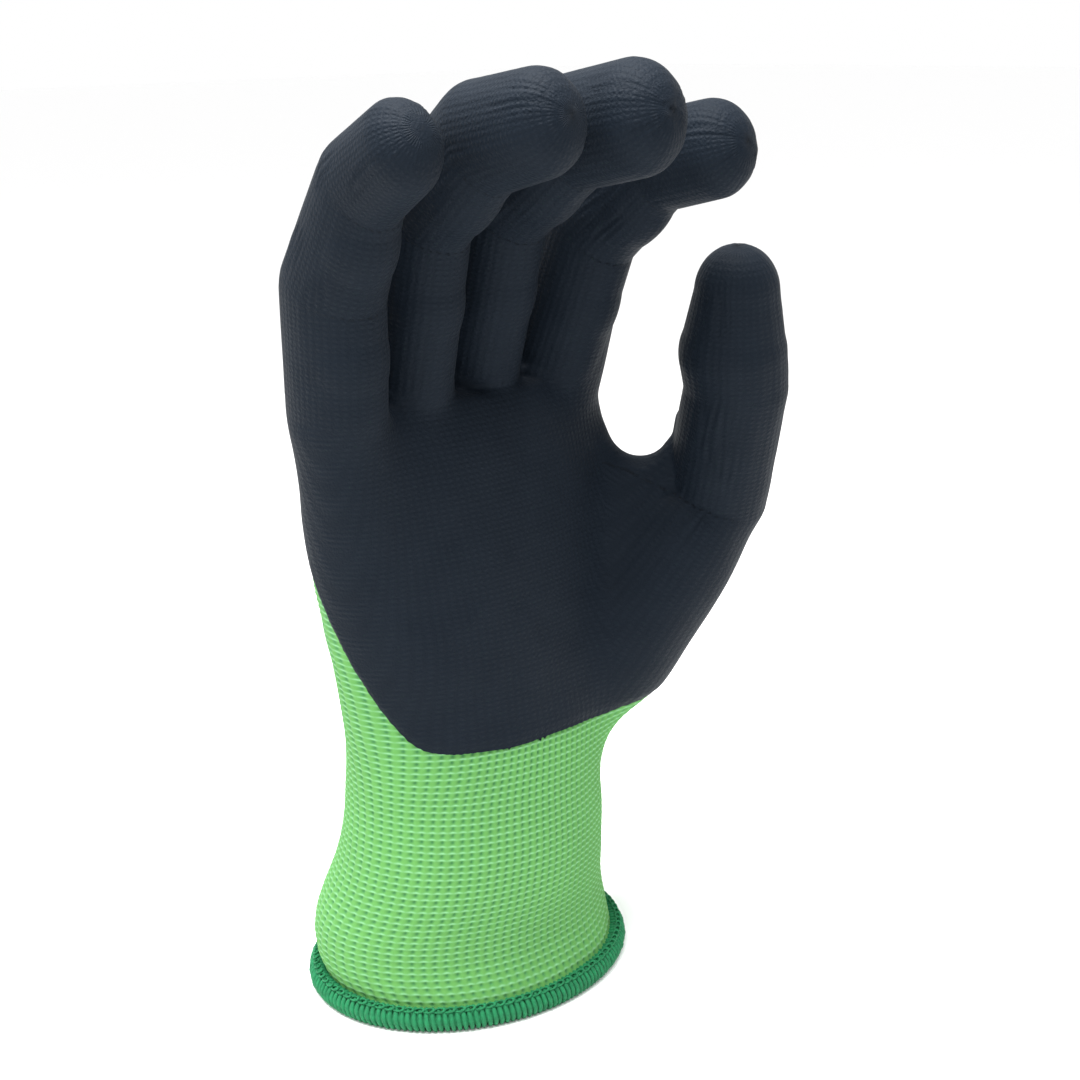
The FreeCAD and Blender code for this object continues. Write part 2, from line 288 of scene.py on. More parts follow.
def addThumb():
    root, line, radii = form["thumbRoot"], lines["thumb"], form["radii"]["thumb"]
    along = (line[0] - root).normalized()
    parts = []
    profile = form["thumbProfile"]
    for (a, ra), (b, rb) in zip(profile, profile[1:]):
        parts.append(addRod(root + along * a, root + along * b, ra, rb))
        parts.append(addBall(root + along * a, ra, along))
    for k in range(2):
        parts.append(addRod(line[k], line[k + 1], radii[k], radii[k + 1]))
        parts.append(addBall(line[k], radii[k], along))
    last = (line[2] - line[1]).normalized()
    share, belly = form["thumbBelly"]
    middle = line[1].lerp(line[2], share) + form["thumbBellyShift"]
    parts.append(addBall(middle, belly, last))
    parts.append(addRod(line[1], middle, radii[1], belly))
    parts.append(addRod(middle, line[2], belly, radii[2]))
    parts.append(addBall(line[2], radii[2], last, 1.0, 1.0, 1.1))
    centre, radius = form["thumbBulge"]
    parts.append(addBall(centre, radius, along))
    shift, radius = form["indexSide"]
    low, high = lines["index"][0] + shift, lines["index"][1]
    parts.append(addRod(low, high, radius, form["radii"]["index"][1] * form["squeeze"]))
    parts.append(addBall(low, radius, Vector((0, 0, 1))))
    return parts


# The skin between palm and thumb: a half ring of rods, each tied down to the palm.
def addWeb():
    centre, across = form["webCentre"], form["webAcross"].normalized()
    thick, radius = form["webThickness"], form["webRadius"]
    spots = []
    for k in range(9):
        angle = math.radians(180 + 22.5 * k)
        rise = Vector((0, 0, radius * math.sin(angle)))
        spots.append(centre + across * (radius * math.cos(angle)) + rise)
    parts = []
    for a, b in zip(spots, spots[1:]):
        parts.append(addRod(a, b, thick, thick))
        parts.append(addBall(b, thick, Vector((0, 0, 1))))
    for spot in spots[1:-1]:
        parts.append(addRod(form["webFoot"], spot, thick + 3.0, thick))
    return parts


# Distance of each point from a line of joined segments.
def lineGap(points, line):
    best = np.full(len(points), 1e9)
    for a, b in zip(line, line[1:]):
        way = np.array(b - a)
        share = np.clip((points - np.array(a)) @ way / (way @ way), 0, 1)
        best = np.minimum(best, np.linalg.norm(points - np.array(a) - share[:, None] * way, axis=1))
    return best


# Evens out the palm, leaving the fingers and the free part of the thumb as they are.
def smoothPalm(obj, steps):
    points = readPoints(obj)
    edges = np.empty(len(obj.data.edges) * 2, np.int32)
    obj.data.edges.foreach_get("vertices", edges)
    a, b = edges.reshape(-1, 2).T
    count = np.bincount(a, minlength=len(points)) + np.bincount(b, minlength=len(points))
    weight = 1 - smoothStep((points[:, 2] - form["palmSmoothTop"] + 8.0) / 12.0)
    knuckle, joint = np.array(lines["thumb"][0]), np.array(lines["thumb"][1])
    way = (joint - knuckle) / np.linalg.norm(joint - knuckle)
    onThumb = smoothStep(((points - knuckle) @ way + 12.0) / 12.0)
    weight *= smoothStep((points[:, 2] - form["palmSmoothBottom"]) / 12.0)
    free = lineGap(points, lines["thumb"])
    weight *= 1 - onThumb * (1 - smoothStep((free - form["thumbHold"]) / 5.0))
    web = np.linalg.norm(points - np.array(form["webCentre"]), axis=1)
    weight *= 0.25 + 0.75 * smoothStep((web - 13.0) / 10.0)
    for _ in range(steps):
        mean = np.empty_like(points)
        for axis in range(3):
            column = points[:, axis]
            total = np.bincount(a, column[b], len(points)) + np.bincount(b, column[a], len(points))
            mean[:, axis] = total / count
        points += (mean - points) * (0.8 * weight)[:, None]
    writePoints(obj, points)


def makeForm(voxel, smoothing):
    parts = [addSleeve()]
    for name in fingerNames:
        parts += addFinger(name)
    parts += addThumb() + addWeb()
    pick(*parts)
    bpy.ops.object.join()
    whole = bpy.context.object
    bpy.ops.object.transform_apply(location=True, rotation=True, scale=True)
    applyModifier(whole, "REMESH", mode="VOXEL", voxel_size=voxel * mm)
    applyModifier(whole, "SMOOTH", factor=0.5, iterations=smoothing)
    smoothPalm(whole, int(form["palmSmoothing"] * (form["voxel"] / voxel) ** 2))
    return whole


skin = makeForm(form["voxel"], form["smoothing"])
skin.name = "skin"
print("form:", len(skin.data.polygons), "faces")


# The dip line.
dip = {
    "frontZ": 64.3, "cornerY": -13.2, "slope": 2.9, "round": 2.2, "backZ": 136.0,
    "scallop": 0.42, "scallopPitch": 2.1, "wander": 0.9, "wanderSize": 14.0,
}


# Height of the coat's edge above each point's place on the glove.
def dipHeight(points):
    y = points[:, 1]
    rise = dip["round"] * np.logaddexp(0, (y - dip["cornerY"]) / dip["round"])
    z = dip["frontZ"] + dip["slope"] * rise
    z = np.minimum(z, dip["backZ"])
    around = np.arctan2(y, points[:, 0]) * 36.0
    wave = np.abs(np.sin(np.pi * around / dip["scallopPitch"])) * dip["scallop"]
    wander = np.array([noise.noise(Vector((x / dip["wanderSize"], w / dip["wanderSize"], 3.1)))
                       for x, w in points[:, :2]])
    return z + wave + wander * dip["wander"]


# Dividing at the joints.
split = {
    "shares": {"little": (0.62, 0.5), "ring": (0.60, 0.5), "middle": (0.60, 0.5), "index": (0.58, 0.5)},
    "zoneLimit": 10.5,
    "zoneSlack": 0.3,
    "crotch": 0.6,              # the finger pieces start this far past the knuckle hinge
    "thumbNormal": Vector((0.8, -0.6, 0.0)),
    "thumbStart": 36.0,
    "thumbEnd": 50.0,
    "thumbReach": 14.6,         # the web beyond this distance from the thumb's line stays with its base
    "thumbRise": 4.0,           # the thumb's free part starts this far before its knuckle
    "thumbShare": 0.5,
}


def bisector(a, b):
    return (a.normalized() + b.normalized()).normalized()


# How far along the bisector a joint's bend may spread before a cut at this distance.
def zoneReach(distance, half, radius):
    reach = distance * math.cos(half) - radius * math.sin(half) - split["zoneSlack"]
    return min(split["zoneLimit"], reach)


# For each finger and the thumb: its cuts (point, normal) and its blends (bodies, start, end).
def dividePlan():
    plan = {}
    for name in fingerNames:
        line = lines[name]
        ways = [(b - a).normalized() for a, b in zip(line, line[1:])]
        radii = [r * form["depth"] for r in form["radii"][name]]
        first, second = split["shares"][name]
        lengths = [(b - a).length for a, b in zip(line, line[1:])]
        mids = [line[0] + ways[0] * lengths[0] * first, line[1] + ways[1] * lengths[1] * second]
        before = [Vector((0, 0, 1))] + ways[:2]
        turns = [bisector(a, b) for a, b in zip(before, ways)]
        halves = [turn.angle(way) for turn, way in zip(turns, ways)]
        crotch = line[0] + turns[0] * split["crotch"]
        rootEnd = lengths[0] * first * math.cos(halves[0]) - radii[0] * math.sin(halves[0])
        rootEnd -= split["zoneSlack"]
        middleReach = min(zoneReach(lengths[0] * (1 - first), halves[1], radii[1]),
                          zoneReach(lengths[1] * second, halves[1], radii[1]))
        tipReach = zoneReach(lengths[1] * (1 - second), halves[2], radii[2])
        plan[name] = {
            "cuts": [(crotch, turns[0]), (mids[0], ways[0]), (mids[1], ways[1])],
            "blends": [
                ("palm", name + "_proximal", crotch, line[0] + turns[0] * rootEnd),
                (name + "_proximal", name + "_middle",
                 line[1] - turns[1] * middleReach, line[1] + turns[1] * middleReach),
                (name + "_middle", name + "_tip",
                 line[2] - turns[2] * tipReach, line[2] + turns[2] * tipReach),
            ],
        }
    line = lines["thumb"]
    base = (line[0] - form["thumbRoot"]).normalized()
    ways = [base, (line[1] - line[0]).normalized(), (line[2] - line[1]).normalized()]
    normal = split["thumbNormal"].normalized()
    mid = line[0].lerp(line[1], split["thumbShare"])
    turns = [bisector(ways[0], ways[1]), bisector(ways[1], ways[2])]
    halves = [turns[0].angle(ways[1]), turns[1].angle(ways[2])]
    half = (line[1] - line[0]).length / 2
    radii = form["radii"]["thumb"]
    rise = split["thumbRise"]
    rootBack = rise * math.cos(halves[0]) - split["zoneSlack"]
    rootEnd = min(half * math.cos(halves[0]) - radii[0] * math.sin(halves[0]), half) - split["zoneSlack"]
    tipReach = zoneReach(half, halves[1], radii[1])
    plan["thumb"] = {
        "cuts": [(normal * split["thumbStart"], normal), (line[0] - base * rise, turns[0]), (mid, ways[1])],
        "blends": [
            ("palm", "thumb_base", normal * split["thumbStart"], normal * split["thumbEnd"]),
            ("thumb_base", "thumb_proximal", line[0] - turns[0] * rootBack, line[0] + turns[0] * rootEnd),
            ("thumb_proximal", "thumb_tip", line[1] - turns[1] * tipReach, line[1] + turns[1] * tipReach),
        ],
    }
    return plan


plan = dividePlan()
chains = {name: lines[name] for name in fingerNames}
chains["thumb"] = [jointAt("thumb_swing")] + lines["thumb"]
stages = ("root", "middle", "tip")


# Index of the nearest finger or thumb for each point.
def nearestChain(points):
    gaps = np.array([lineGap(points, line) for line in chains.values()])
    return gaps.argmin(0)


def beyond(points, cut):
    point, normal = cut
    return (points - np.array(point)) @ np.array(normal)


# 0 for the palm, then 1 to 3 for each finger from the little finger to the thumb.
def pieceNumbers(points):
    owner = nearestChain(points)
    number = np.zeros(len(points), int)
    for k, name in enumerate(chains):
        cuts = plan[name]["cuts"]
        mine = (owner == k) | ((name == "thumb") & (points[:, 2] < 150) & (number == 0))
        if name == "thumb":
            mine &= (points[:, 2] < 140) | (owner == k)
        inside = mine & (beyond(points, cuts[0]) > 0)
        number[inside] = 3 * k + 1
        if name == "thumb":
            inside &= lineGap(points, lines["thumb"]) < split["thumbReach"]
        for stage in (1, 2):
            inside &= beyond(points, cuts[stage]) > 0
            number[inside] = 3 * k + 1 + stage
    return number


def bisectAt(obj, cut, mask):
    editFaces(obj, mask)
    bpy.ops.mesh.bisect(plane_co=cut[0] * mm, plane_no=cut[1], threshold=0.00001)
    objectMode()


# Cuts the mesh at every joint's planes and returns its pieces by number.
def cutPieces(obj):
    for k, name in enumerate(chains):
        for cut in plan[name]["cuts"]:
            centres = readCentres(obj)
            near = np.abs(beyond(centres, cut)) < 4.0
            thumbBase = name == "thumb" and cut is plan[name]["cuts"][0]
            mine = (centres[:, 2] < 160) if thumbBase else nearestChain(centres) == k
            bisectAt(obj, cut, near & mine)
    return separateBy(obj, pieceNumbers(readCentres(obj)))


# Separates a mesh into one object for each number.
def separateBy(obj, numbers):
    pieces = {}
    obj.data.materials.clear()
    for k in range(int(numbers.max()) + 1):
        label = "part%d" % k
        obj.data.materials.append(bpy.data.materials.get(label) or bpy.data.materials.new(label))
    obj.data.polygons.foreach_set("material_index", numbers.astype(np.int32))
    pick(obj)
    bpy.ops.object.mode_set(mode="EDIT")
    bpy.ops.mesh.select_all(action="SELECT")
    bpy.ops.mesh.separate(type="MATERIAL")
    objectMode()
    for part in list(bpy.context.selected_objects):
        number = int(part.material_slots[part.data.polygons[0].material_index].name[4:])
        part.data.materials.clear()
        part.data.polygons.foreach_set("material_index", np.zeros(len(part.data.polygons), np.int32))
        pieces[number] = part
    return pieces


def pieceName(number, kind):
    if number == 0:
        return "palm_" + kind
    name = list(chains)[(number - 1) // 3]
    return name + "_" + stages[(number - 1) % 3] + "_" + kind


def bindPiece(obj, number):
    if number == 0:
        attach(obj, "palm")
        return
    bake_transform(obj)


# The coat.
coat = {
    "thickness": 0.8,
    "edgeThin": 0.42,           # the coat thins by this much at its edge
    "edgeWidth": 2.6,
    "rimRounds": 3,
    "columnPitch": 1.7,         # stitch columns that show through the coat
    "columnRound": 11.0,
    "wrinkleDepth": 0.15,
    "wrinklePitch": 2.1,
    "unevenness": 0.12,
}


# Along and around a finger's line for each point, in mm, with the line's share from 0 to 1.
def chainPlace(points, name):
    line = chains[name]
    best = np.full(len(points), 1e9)
    along, angle = np.zeros(len(points)), np.zeros(len(points))
    run = 0.0
    for a, b in zip(line, line[1:]):
        way = np.array(b - a)
        length = float(np.linalg.norm(way))
        way /= length
        side = np.array([1.0, 0, 0]) - way * way[0]
        side /= np.linalg.norm(side)
        front = np.cross(side, way)
        local = points - np.array(a)
        t = local @ way
        clipped = np.clip(t, 0, length)
        gap = np.linalg.norm(local - clipped[:, None] * way, axis=1)
        closer = gap < best
        best[closer] = gap[closer]
        along[closer] = (run + t)[closer]
        angle[closer] = np.arctan2(local @ side, local @ front)[closer]
        run += length
    return along, angle, run


# A UV map in mm: across the stitch columns and along them.
def addStitchMap(obj, name):
    points = readPoints(obj)
    corners = np.empty(len(obj.data.loops), np.int32)
    obj.data.loops.foreach_get("vertex_index", corners)
    if name is None:
        place = np.column_stack((points[:, 0] + 0.6 * points[:, 1], points[:, 2]))[corners]
    else:
        along, angle, _ = chainPlace(points, name)
        starts = np.empty(len(obj.data.polygons), np.int32)
        totals = np.empty(len(obj.data.polygons), np.int32)
        obj.data.polygons.foreach_get("loop_start", starts)
        obj.data.polygons.foreach_get("loop_total", totals)
        turn = angle[corners]
        first = np.repeat(turn[starts], totals)
        turn = first + (turn - first + np.pi) % (2 * np.pi) - np.pi
        columns = round(2 * math.pi * coat["columnRound"] / coat["columnPitch"])
        place = np.column_stack((turn * columns * coat["columnPitch"] / (2 * math.pi), along[corners]))
    layer = obj.data.uv_layers.new(name="stitches")
    layer.data.foreach_set("uv", place.astype(np.float32).ravel())


# Lines that run along the fingers where the coat is pressed together, and creases in the palm.
def addWrinkles(obj):
    points, normals = readPoints(obj), readNormals(obj)
    owner = nearestChain(points)
    push = np.zeros(len(points))
    for k, name in enumerate(chains):
        rows = (owner == k) & (points[:, 2] > (95 if name == "thumb" else 150))
        mine = points[rows]
        along, angle, length = chainPlace(mine, name)
        u = angle * coat["columnRound"]
        wave = np.array([noise.noise(Vector((a / 3.0, b / 16.0, 5.0 * k))) for a, b in zip(u, along)])
        spread = np.array([noise.noise(Vector((a / 9.0, b / 14.0, 7.0 + 5.0 * k)))
                           for a, b in zip(u, along)])
        line = np.cos(2 * np.pi * (u / coat["wrinklePitch"] + 1.1 * wave + along * 0.02))
        sideways = smoothStep((np.abs(np.sin(angle)) - 0.35) / 0.4)
        mask = smoothStep((spread - 0.02) / 0.3) * sideways * smoothStep((along - 0.35 * length) / 12.0)
        push[rows] += coat["wrinkleDepth"] * line * mask
        push[rows] += coat["unevenness"] * wave
    low = points[:, 2] < 150
    fade = 1 - smoothStep((points[low, 2] - 132.0) / 17.0)
    soft = np.array([noise.noise(Vector(p / 17.0)) + 0.5 * noise.noise(Vector(p / 8.0))
                     for p in points[low]])
    push[low] += 0.28 * soft * fade
    writePoints(obj, points + normals * push[:, None])


def makeCoat():
    pick(skin)
    bpy.ops.object.duplicate()
    shell = bpy.context.object
    shell.name = "coat"
    centres = readCentres(shell)
    editFaces(shell, centres[:, 2] < dipHeight(centres))
    bpy.ops.mesh.delete(type="FACE")
    objectMode()
    points = readPoints(shell)
    gap = points[:, 2] - dipHeight(points)
    edge = np.zeros(len(points), bool)
    uses = {}
    for polygon in shell.data.polygons:
        for key in polygon.edge_keys:
            uses[key] = uses.get(key, 0) + 1
    for (a, b), count in uses.items():
        if count == 1:
            edge[a] = edge[b] = True
    moved = points.copy()
    moved[edge, 2] -= np.clip(gap[edge], -0.8, 0.8)
    rim = np.array([key for key, count in uses.items() if count == 1])
    for _ in range(coat["rimRounds"]):
        total, beside = np.zeros_like(moved), np.zeros(len(moved))
        for a, b in (rim.T, rim.T[::-1]):
            np.add.at(total, a, moved[b])
            np.add.at(beside, a, 1)
        moved[edge] += 0.5 * (total[edge] / beside[edge, None] - moved[edge])
    thin = coat["edgeThin"] * (1 - smoothStep(np.abs(gap) / coat["edgeWidth"]))
    low = points[:, 2] < dip["backZ"] + 8
    moved -= readNormals(shell) * (thin * low)[:, None]
    writePoints(shell, moved)
    return shell


addWrinkles(skin)
coatPieces = cutPieces(makeCoat())
for number, piece in coatPieces.items():
    piece.name = pieceName(number, "coat")
    addStitchMap(piece, None if number == 0 else list(chains)[(number - 1) // 3])
    applyModifier(piece, "SOLIDIFY", thickness=coat["thickness"] * mm, offset=-1, use_rim=True)
    pick(piece)
    bpy.ops.object.shade_smooth_by_angle(angle=math.radians(50))
print("coat:", len(coatPieces), "pieces,", sum(len(p.data.polygons) for p in coatPieces.values()), "faces")


# The bare knit.
knit = {
    "wales": 84, "perWale": 6,
    "course": 1.55, "perCourse": 4,
    "bottom": 3.4, "cuffTop": 31.0, "wristTop": 61.0, "top": 142.0,
    "bendStart": 39.0,          # above the topmost elastic ring, which stays with the cuff
    "under": 4.5,               # how far the knit runs on under the coat
    "wall": 1.0,
    "rib": 0.16, "pit": 0.40, "bar": 0.22,
    "ribEnd": 92.0, "ribFade": 14.0,
    "seamAngle": 60.0,          # where the first stitch column stands
}


# Height of the knit's surface: plain ribs with a column of pits and bars between them.
def knitRelief(u, v, plain):
    across = u % 1.0
    course = v % 1.0
    column = np.exp(-((across - 0.5) / 0.17) ** 2)
    wide = np.exp(-((across - 0.5) / 0.30) ** 2)
    pit = np.exp(-((course - 0.38) / 0.24) ** 2)
    bar = np.exp(-((course - 0.88) / 0.16) ** 2) + np.exp(-((course + 0.12) / 0.16) ** 2)
    ribbed = knit["rib"] * np.cos(2 * np.pi * across) - knit["pit"] * column * pit
    ribbed = ribbed + knit["bar"] * wide * bar
    jersey = 0.10 * np.cos(4 * np.pi * across) + 0.07 * np.cos(2 * np.pi * (course + np.abs(across - 0.5)))
    return ribbed * (1 - plain) + jersey * plain + 0.03 * np.cos(2 * np.pi * course)


def skinTree():
    corners = [v.co.copy() for v in skin.data.vertices]
    return BVHTree.FromPolygons(corners, [p.vertices[:] for p in skin.data.polygons])


def makeKnit():
    tree = skinTree()
    columns = knit["wales"] * knit["perWale"]
    step = knit["course"] / knit["perCourse"]
    rows = int((knit["top"] - knit["bottom"]) / step) + 1
    fine = np.linspace(0, 2 * np.pi, 721)
    verts = np.zeros((rows, columns, 3))
    directions = np.zeros((rows, columns, 3))
    startTurn = math.radians(knit["seamAngle"])
    for r in range(rows):
        z = knit["bottom"] + step * r
        x, y, width, depth = ovalAt(min(z, 141.0))
        turn = fine + startTurn
        curve = np.column_stack((width * np.cos(turn), depth * np.sin(turn)))
        run = np.concatenate(([0], np.cumsum(np.linalg.norm(np.diff(curve, axis=0), axis=1))))
        phi = np.interp(np.arange(columns) / columns * run[-1], run, turn)
        normal = np.column_stack((np.cos(phi) / width, np.sin(phi) / depth, np.zeros(columns)))
        normal /= np.linalg.norm(normal, axis=1)[:, None]
        inX, inY = x + 0.55 * width * np.cos(phi), y + 0.55 * depth * np.sin(phi)
        start = np.column_stack((inX, inY, np.full(columns, z)))
        for c in range(columns):
            hit = tree.ray_cast(Vector(start[c]) * mm, Vector(normal[c]))
            verts[r, c] = hit[0] / mm if hit[0] is not None else start[c]
        directions[r] = normal
    u, v = np.meshgrid(np.arange(columns) / knit["perWale"], np.arange(rows) / knit["perCourse"])
    plain = smoothStep((verts[:, :, 2] - knit["ribEnd"] + knit["ribFade"]) / (2 * knit["ribFade"]))
    relief = knitRelief(u, v, plain) - coat["thickness"] - 0.1
    verts += directions * relief[:, :, None]
    return verts, u, v


# A stretch of the knit grid as an object, closed round, with its stitch map.
def knitMesh(name, verts, rowRange, keep):
    rows, columns, _ = verts.shape
    low, high = rowRange
    used = verts[low:high + 1].reshape(-1, 3) * mm
    faces, places = [], []
    for r in range(high - low):
        for c in range(columns):
            if not keep[low + r, c]:
                continue
            d = (c + 1) % columns
            faces.append((r * columns + c, r * columns + d, (r + 1) * columns + d, (r + 1) * columns + c))
            u0, u1 = c / knit["perWale"], (c + 1) / knit["perWale"]
            v0, v1 = (low + r) / knit["perCourse"], (low + r + 1) / knit["perCourse"]
            places += [(u0, v0), (u1, v0), (u1, v1), (u0, v1)]
    mesh = bpy.data.meshes.new(name)
    mesh.from_pydata([tuple(p) for p in used], [], faces)
    layer = mesh.uv_layers.new(name="stitches")
    layer.data.foreach_set("uv", np.array(places, np.float32).ravel())
    obj = bpy.data.objects.new(name, mesh)
    bpy.context.scene.collection.objects.link(obj)
    pick(obj)
    bpy.ops.object.mode_set(mode="EDIT")
    bpy.ops.mesh.select_all(action="SELECT")
    bpy.ops.mesh.delete_loose()
    objectMode()
    applyModifier(obj, "SOLIDIFY", thickness=knit["wall"] * mm, offset=-1, use_rim=True)
    pick(obj)
    bpy.ops.object.shade_smooth_by_angle(angle=math.radians(60))
    return obj


def makeKnitPieces():
    verts, u, v = makeKnit()
    rows, columns, _ = verts.shape
    step = knit["course"] / knit["perCourse"]
    cuffRow = round((knit["cuffTop"] - knit["bottom"]) / step)
    wristRow = round((knit["wristTop"] - knit["bottom"]) / step)
    centres = (verts[:-1] + verts[1:]) / 2
    centres = (centres + np.roll(centres, -1, axis=1)) / 2
    flat = centres.reshape(-1, 3)
    shown = (flat[:, 2] < dipHeight(flat) + knit["under"]).reshape(rows - 1, columns)
    thumbSide = (beyond(flat, plan["thumb"]["cuts"][0]) > 0).reshape(rows - 1, columns)
    everywhere = np.ones((rows - 1, columns), bool)
    return {
        "cuff": knitMesh("cuff_knit_sleeve", verts, (0, cuffRow), everywhere),
        "wrist": knitMesh("wrist_knit_sleeve", verts, (cuffRow, wristRow), everywhere),
        "palm": knitMesh("palm_knit", verts, (wristRow, rows - 1), shown & ~thumbSide),
        "thumb": knitMesh("thumb_side_knit", verts, (wristRow, rows - 1), shown & thumbSide),
    }


knitPieces = makeKnitPieces()
print("knit:", {name: len(piece.data.polygons) for name, piece in knitPieces.items()})


# The knitted lining inside the coat.
lining = {"voxel": 1.5, "smoothing": 1, "inset": 1.2, "least": 0.6, "wall": 1.0}


def makeLining():
    shell = makeForm(lining["voxel"], lining["smoothing"])
    shell.name = "lining"
    points = readPoints(shell) - readNormals(shell) * lining["inset"]
    tree = skinTree()
    for k, point in enumerate(points):
        near, normal, _, _ = tree.find_nearest(Vector(point) * mm)
        depth = (Vector(point) - near / mm).dot(normal)
        if depth > -lining["inset"]:
            points[k] = point - np.array(normal) * (depth + lining["inset"])
    writePoints(shell, points)
    centres = readCentres(shell)
    bare = centres[:, 2] < dipHeight(centres) + knit["under"] - 1.0
    for k, point in enumerate(centres):
        near, normal, _, _ = tree.find_nearest(Vector(point) * mm)
        bare[k] |= (Vector(point) - near / mm).dot(normal) > -lining["least"]
    editFaces(shell, bare)
    bpy.ops.mesh.delete(type="FACE")
    objectMode()
    return cutPieces(shell)


liningPieces = makeLining()
for number, piece in liningPieces.items():
    piece.name = pieceName(number, "lining")
    addStitchMap(piece, None if number == 0 else list(chains)[(number - 1) // 3])
    applyModifier(piece, "SOLIDIFY", thickness=lining["wall"] * mm, offset=-1, use_rim=True)
    pick(piece)
    bpy.ops.object.shade_smooth_by_angle(angle=math.radians(50))
print("lining:", len(liningPieces), "pieces")


# The hem.
hem = {
    "height": 2.6, "width": 39.6, "depth": 33.0,
    "core": 1.9,
    "wraps": 164, "wrapRadius": 2.12, "thread": 0.6, "lean": 9.0,
    "links": 98, "linkLength": 1.25, "linkWidth": 0.62, "linkThread": 0.30, "linkAngle": 72.0,
}


# Evenly spaced places round the hem: centre of the roll, outward direction and tangent.
def hemPlaces(count, shift=0.0):
    fine = np.linspace(0, 2 * np.pi, 1441)
    curve = np.column_stack((hem["width"] * np.cos(fine), hem["depth"] * np.sin(fine)))
    run = np.concatenate(([0], np.cumsum(np.linalg.norm(np.diff(curve, axis=0), axis=1))))
    turns = np.interp((np.arange(count) + shift) / count * run[-1], run, fine)
    places = []
    for turn in turns:
        c, s = math.cos(turn), math.sin(turn)
        out = Vector((c / hem["width"], s / hem["depth"], 0)).normalized()
        centre = Vector((hem["width"] * c, hem["depth"] * s, hem["height"]))
        places.append((centre, out, Vector((-out.y, out.x, 0))))
    return places


def makeHemCore():
    bpy.ops.mesh.primitive_torus_add(
        major_segments=160, minor_segments=20,
        major_radius=hem["depth"] * mm, minor_radius=hem["core"] * mm,
        location=(0, 0, hem["height"] * mm))
    core = bpy.context.object
    bpy.ops.object.transform_apply(location=True, rotation=True, scale=True)
    editFaces(core, np.ones(len(core.data.polygons), bool))
    bpy.ops.transform.resize(
        value=(hem["width"] / hem["depth"], 1.0, 1.0), center_override=Vector((0, 0, hem["height"])) * mm)
    objectMode()
    core.name = "hem_roll"
    bpy.ops.object.shade_smooth()
    return core


# Copies of one modelled stitch, each with its own mesh, joined into one piece.
def copyRound(model, matrices, name):
    copies = []
    for matrix in matrices:
        pick(model)
        bpy.ops.object.duplicate()
        made = bpy.context.object
        made.matrix_world = matrix
        copies.append(made)
    pick(*copies)
    bpy.ops.object.join()
    whole = bpy.context.object
    bpy.ops.object.transform_apply(location=True, rotation=True, scale=True)
    bpy.data.objects.remove(model)
    whole.name = name
    pick(whole)
    bpy.ops.object.shade_smooth()
    return whole


def makeHemWraps():
    bpy.ops.mesh.primitive_torus_add(
        major_segments=16, minor_segments=6,
        major_radius=hem["wrapRadius"] * mm, minor_radius=hem["thread"] * mm)
    ring = bpy.context.object
    matrices = []
    for k, (centre, out, tangent) in enumerate(hemPlaces(hem["wraps"])):
        jitter = noise.noise(Vector((k * 0.71, 2.0, 0.0)))
        lean = math.radians(hem["lean"] * (1 + 0.6 * jitter))
        normal = (tangent * math.cos(lean) + Vector((0, 0, 1)) * math.sin(lean)).normalized()
        up = normal.cross(out)
        turn = Matrix((out * (1 + 0.04 * jitter), up * 1.1, normal)).transposed().to_4x4()
        matrices.append(Matrix.Translation((centre + out * (0.1 * jitter)) * mm) @ turn)
    return copyRound(ring, matrices, "hem_wraps")


def makeHemChain():
    bpy.ops.mesh.primitive_torus_add(
        major_segments=12, minor_segments=5, major_radius=mm, minor_radius=hem["linkThread"] * mm)
    link = bpy.context.object
    matrices = []
    angle = math.radians(hem["linkAngle"])
    for k, (centre, out, tangent) in enumerate(hemPlaces(hem["links"], 0.3)):
        away = out * math.cos(angle) + Vector((0, 0, 1)) * math.sin(angle)
        jitter = noise.noise(Vector((k * 0.53, 9.0, 0.0)))
        tip = (tangent + away * 0.22).normalized()
        across = away.cross(tip).normalized()
        face = tip.cross(across)
        wide = across * hem["linkWidth"] * (1 + 0.3 * jitter)
        turn = Matrix((tip * hem["linkLength"], wide, face)).transposed()
        place = centre + away * (hem["wrapRadius"] * 1.1 + hem["thread"] + 0.05)
        matrices.append(Matrix.Translation(place * mm) @ turn.to_4x4())
    return copyRound(link, matrices, "hem_chain")


hemPieces = [makeHemCore(), makeHemWraps(), makeHemChain()]
print("hem:", [len(piece.data.polygons) for piece in hemPieces])


# Finishes.
colours = {
    # pit is a painted shade for the knit's recessed pits; mint is the pale yarn and also carries a painted
    # highlight on the raised bars
    "lime": (0.102, 0.300, 0.072), "mint": (0.22, 0.50, 0.26), "pit": (0.042, 0.19, 0.08),
    "foam": (0.0035, 0.0068, 0.0120), "foamLight": (0.0098, 0.0150, 0.0225),
    "hem": (0.0095, 0.180, 0.066), "hemDark": (0.004, 0.07, 0.028),
    "elastic": (0.62, 0.66, 0.60),
}


def newMaterial(name, roughness, sheen, sheenRoughness=0.5, specular=0.5):
    material = bpy.data.materials.new(name)
    material.use_nodes = True
    shader = material.node_tree.nodes["Principled BSDF"]
    shader.inputs["Roughness"].default_value = roughness
    shader.inputs["Sheen Weight"].default_value = sheen
    shader.inputs["Sheen Roughness"].default_value = sheenRoughness
    shader.inputs["Specular IOR Level"].default_value = specular
    return material


# A node with its settings, its inputs linked or set by name or number.
def addNode(material, kind, links=None, **settings):
    made = material.node_tree.nodes.new(kind)
    for key, value in settings.items():
        setattr(made, key, value)
    for key, value in (links or {}).items():
        socket = made.inputs[key]
        if isinstance(value, bpy.types.NodeSocket):
            material.node_tree.links.new(value, socket)
        else:
            socket.default_value = value
    return made


def calc(material, operation, *values):
    made = addNode(material, "ShaderNodeMath", dict(enumerate(values)), operation=operation)
    return made.outputs[0]


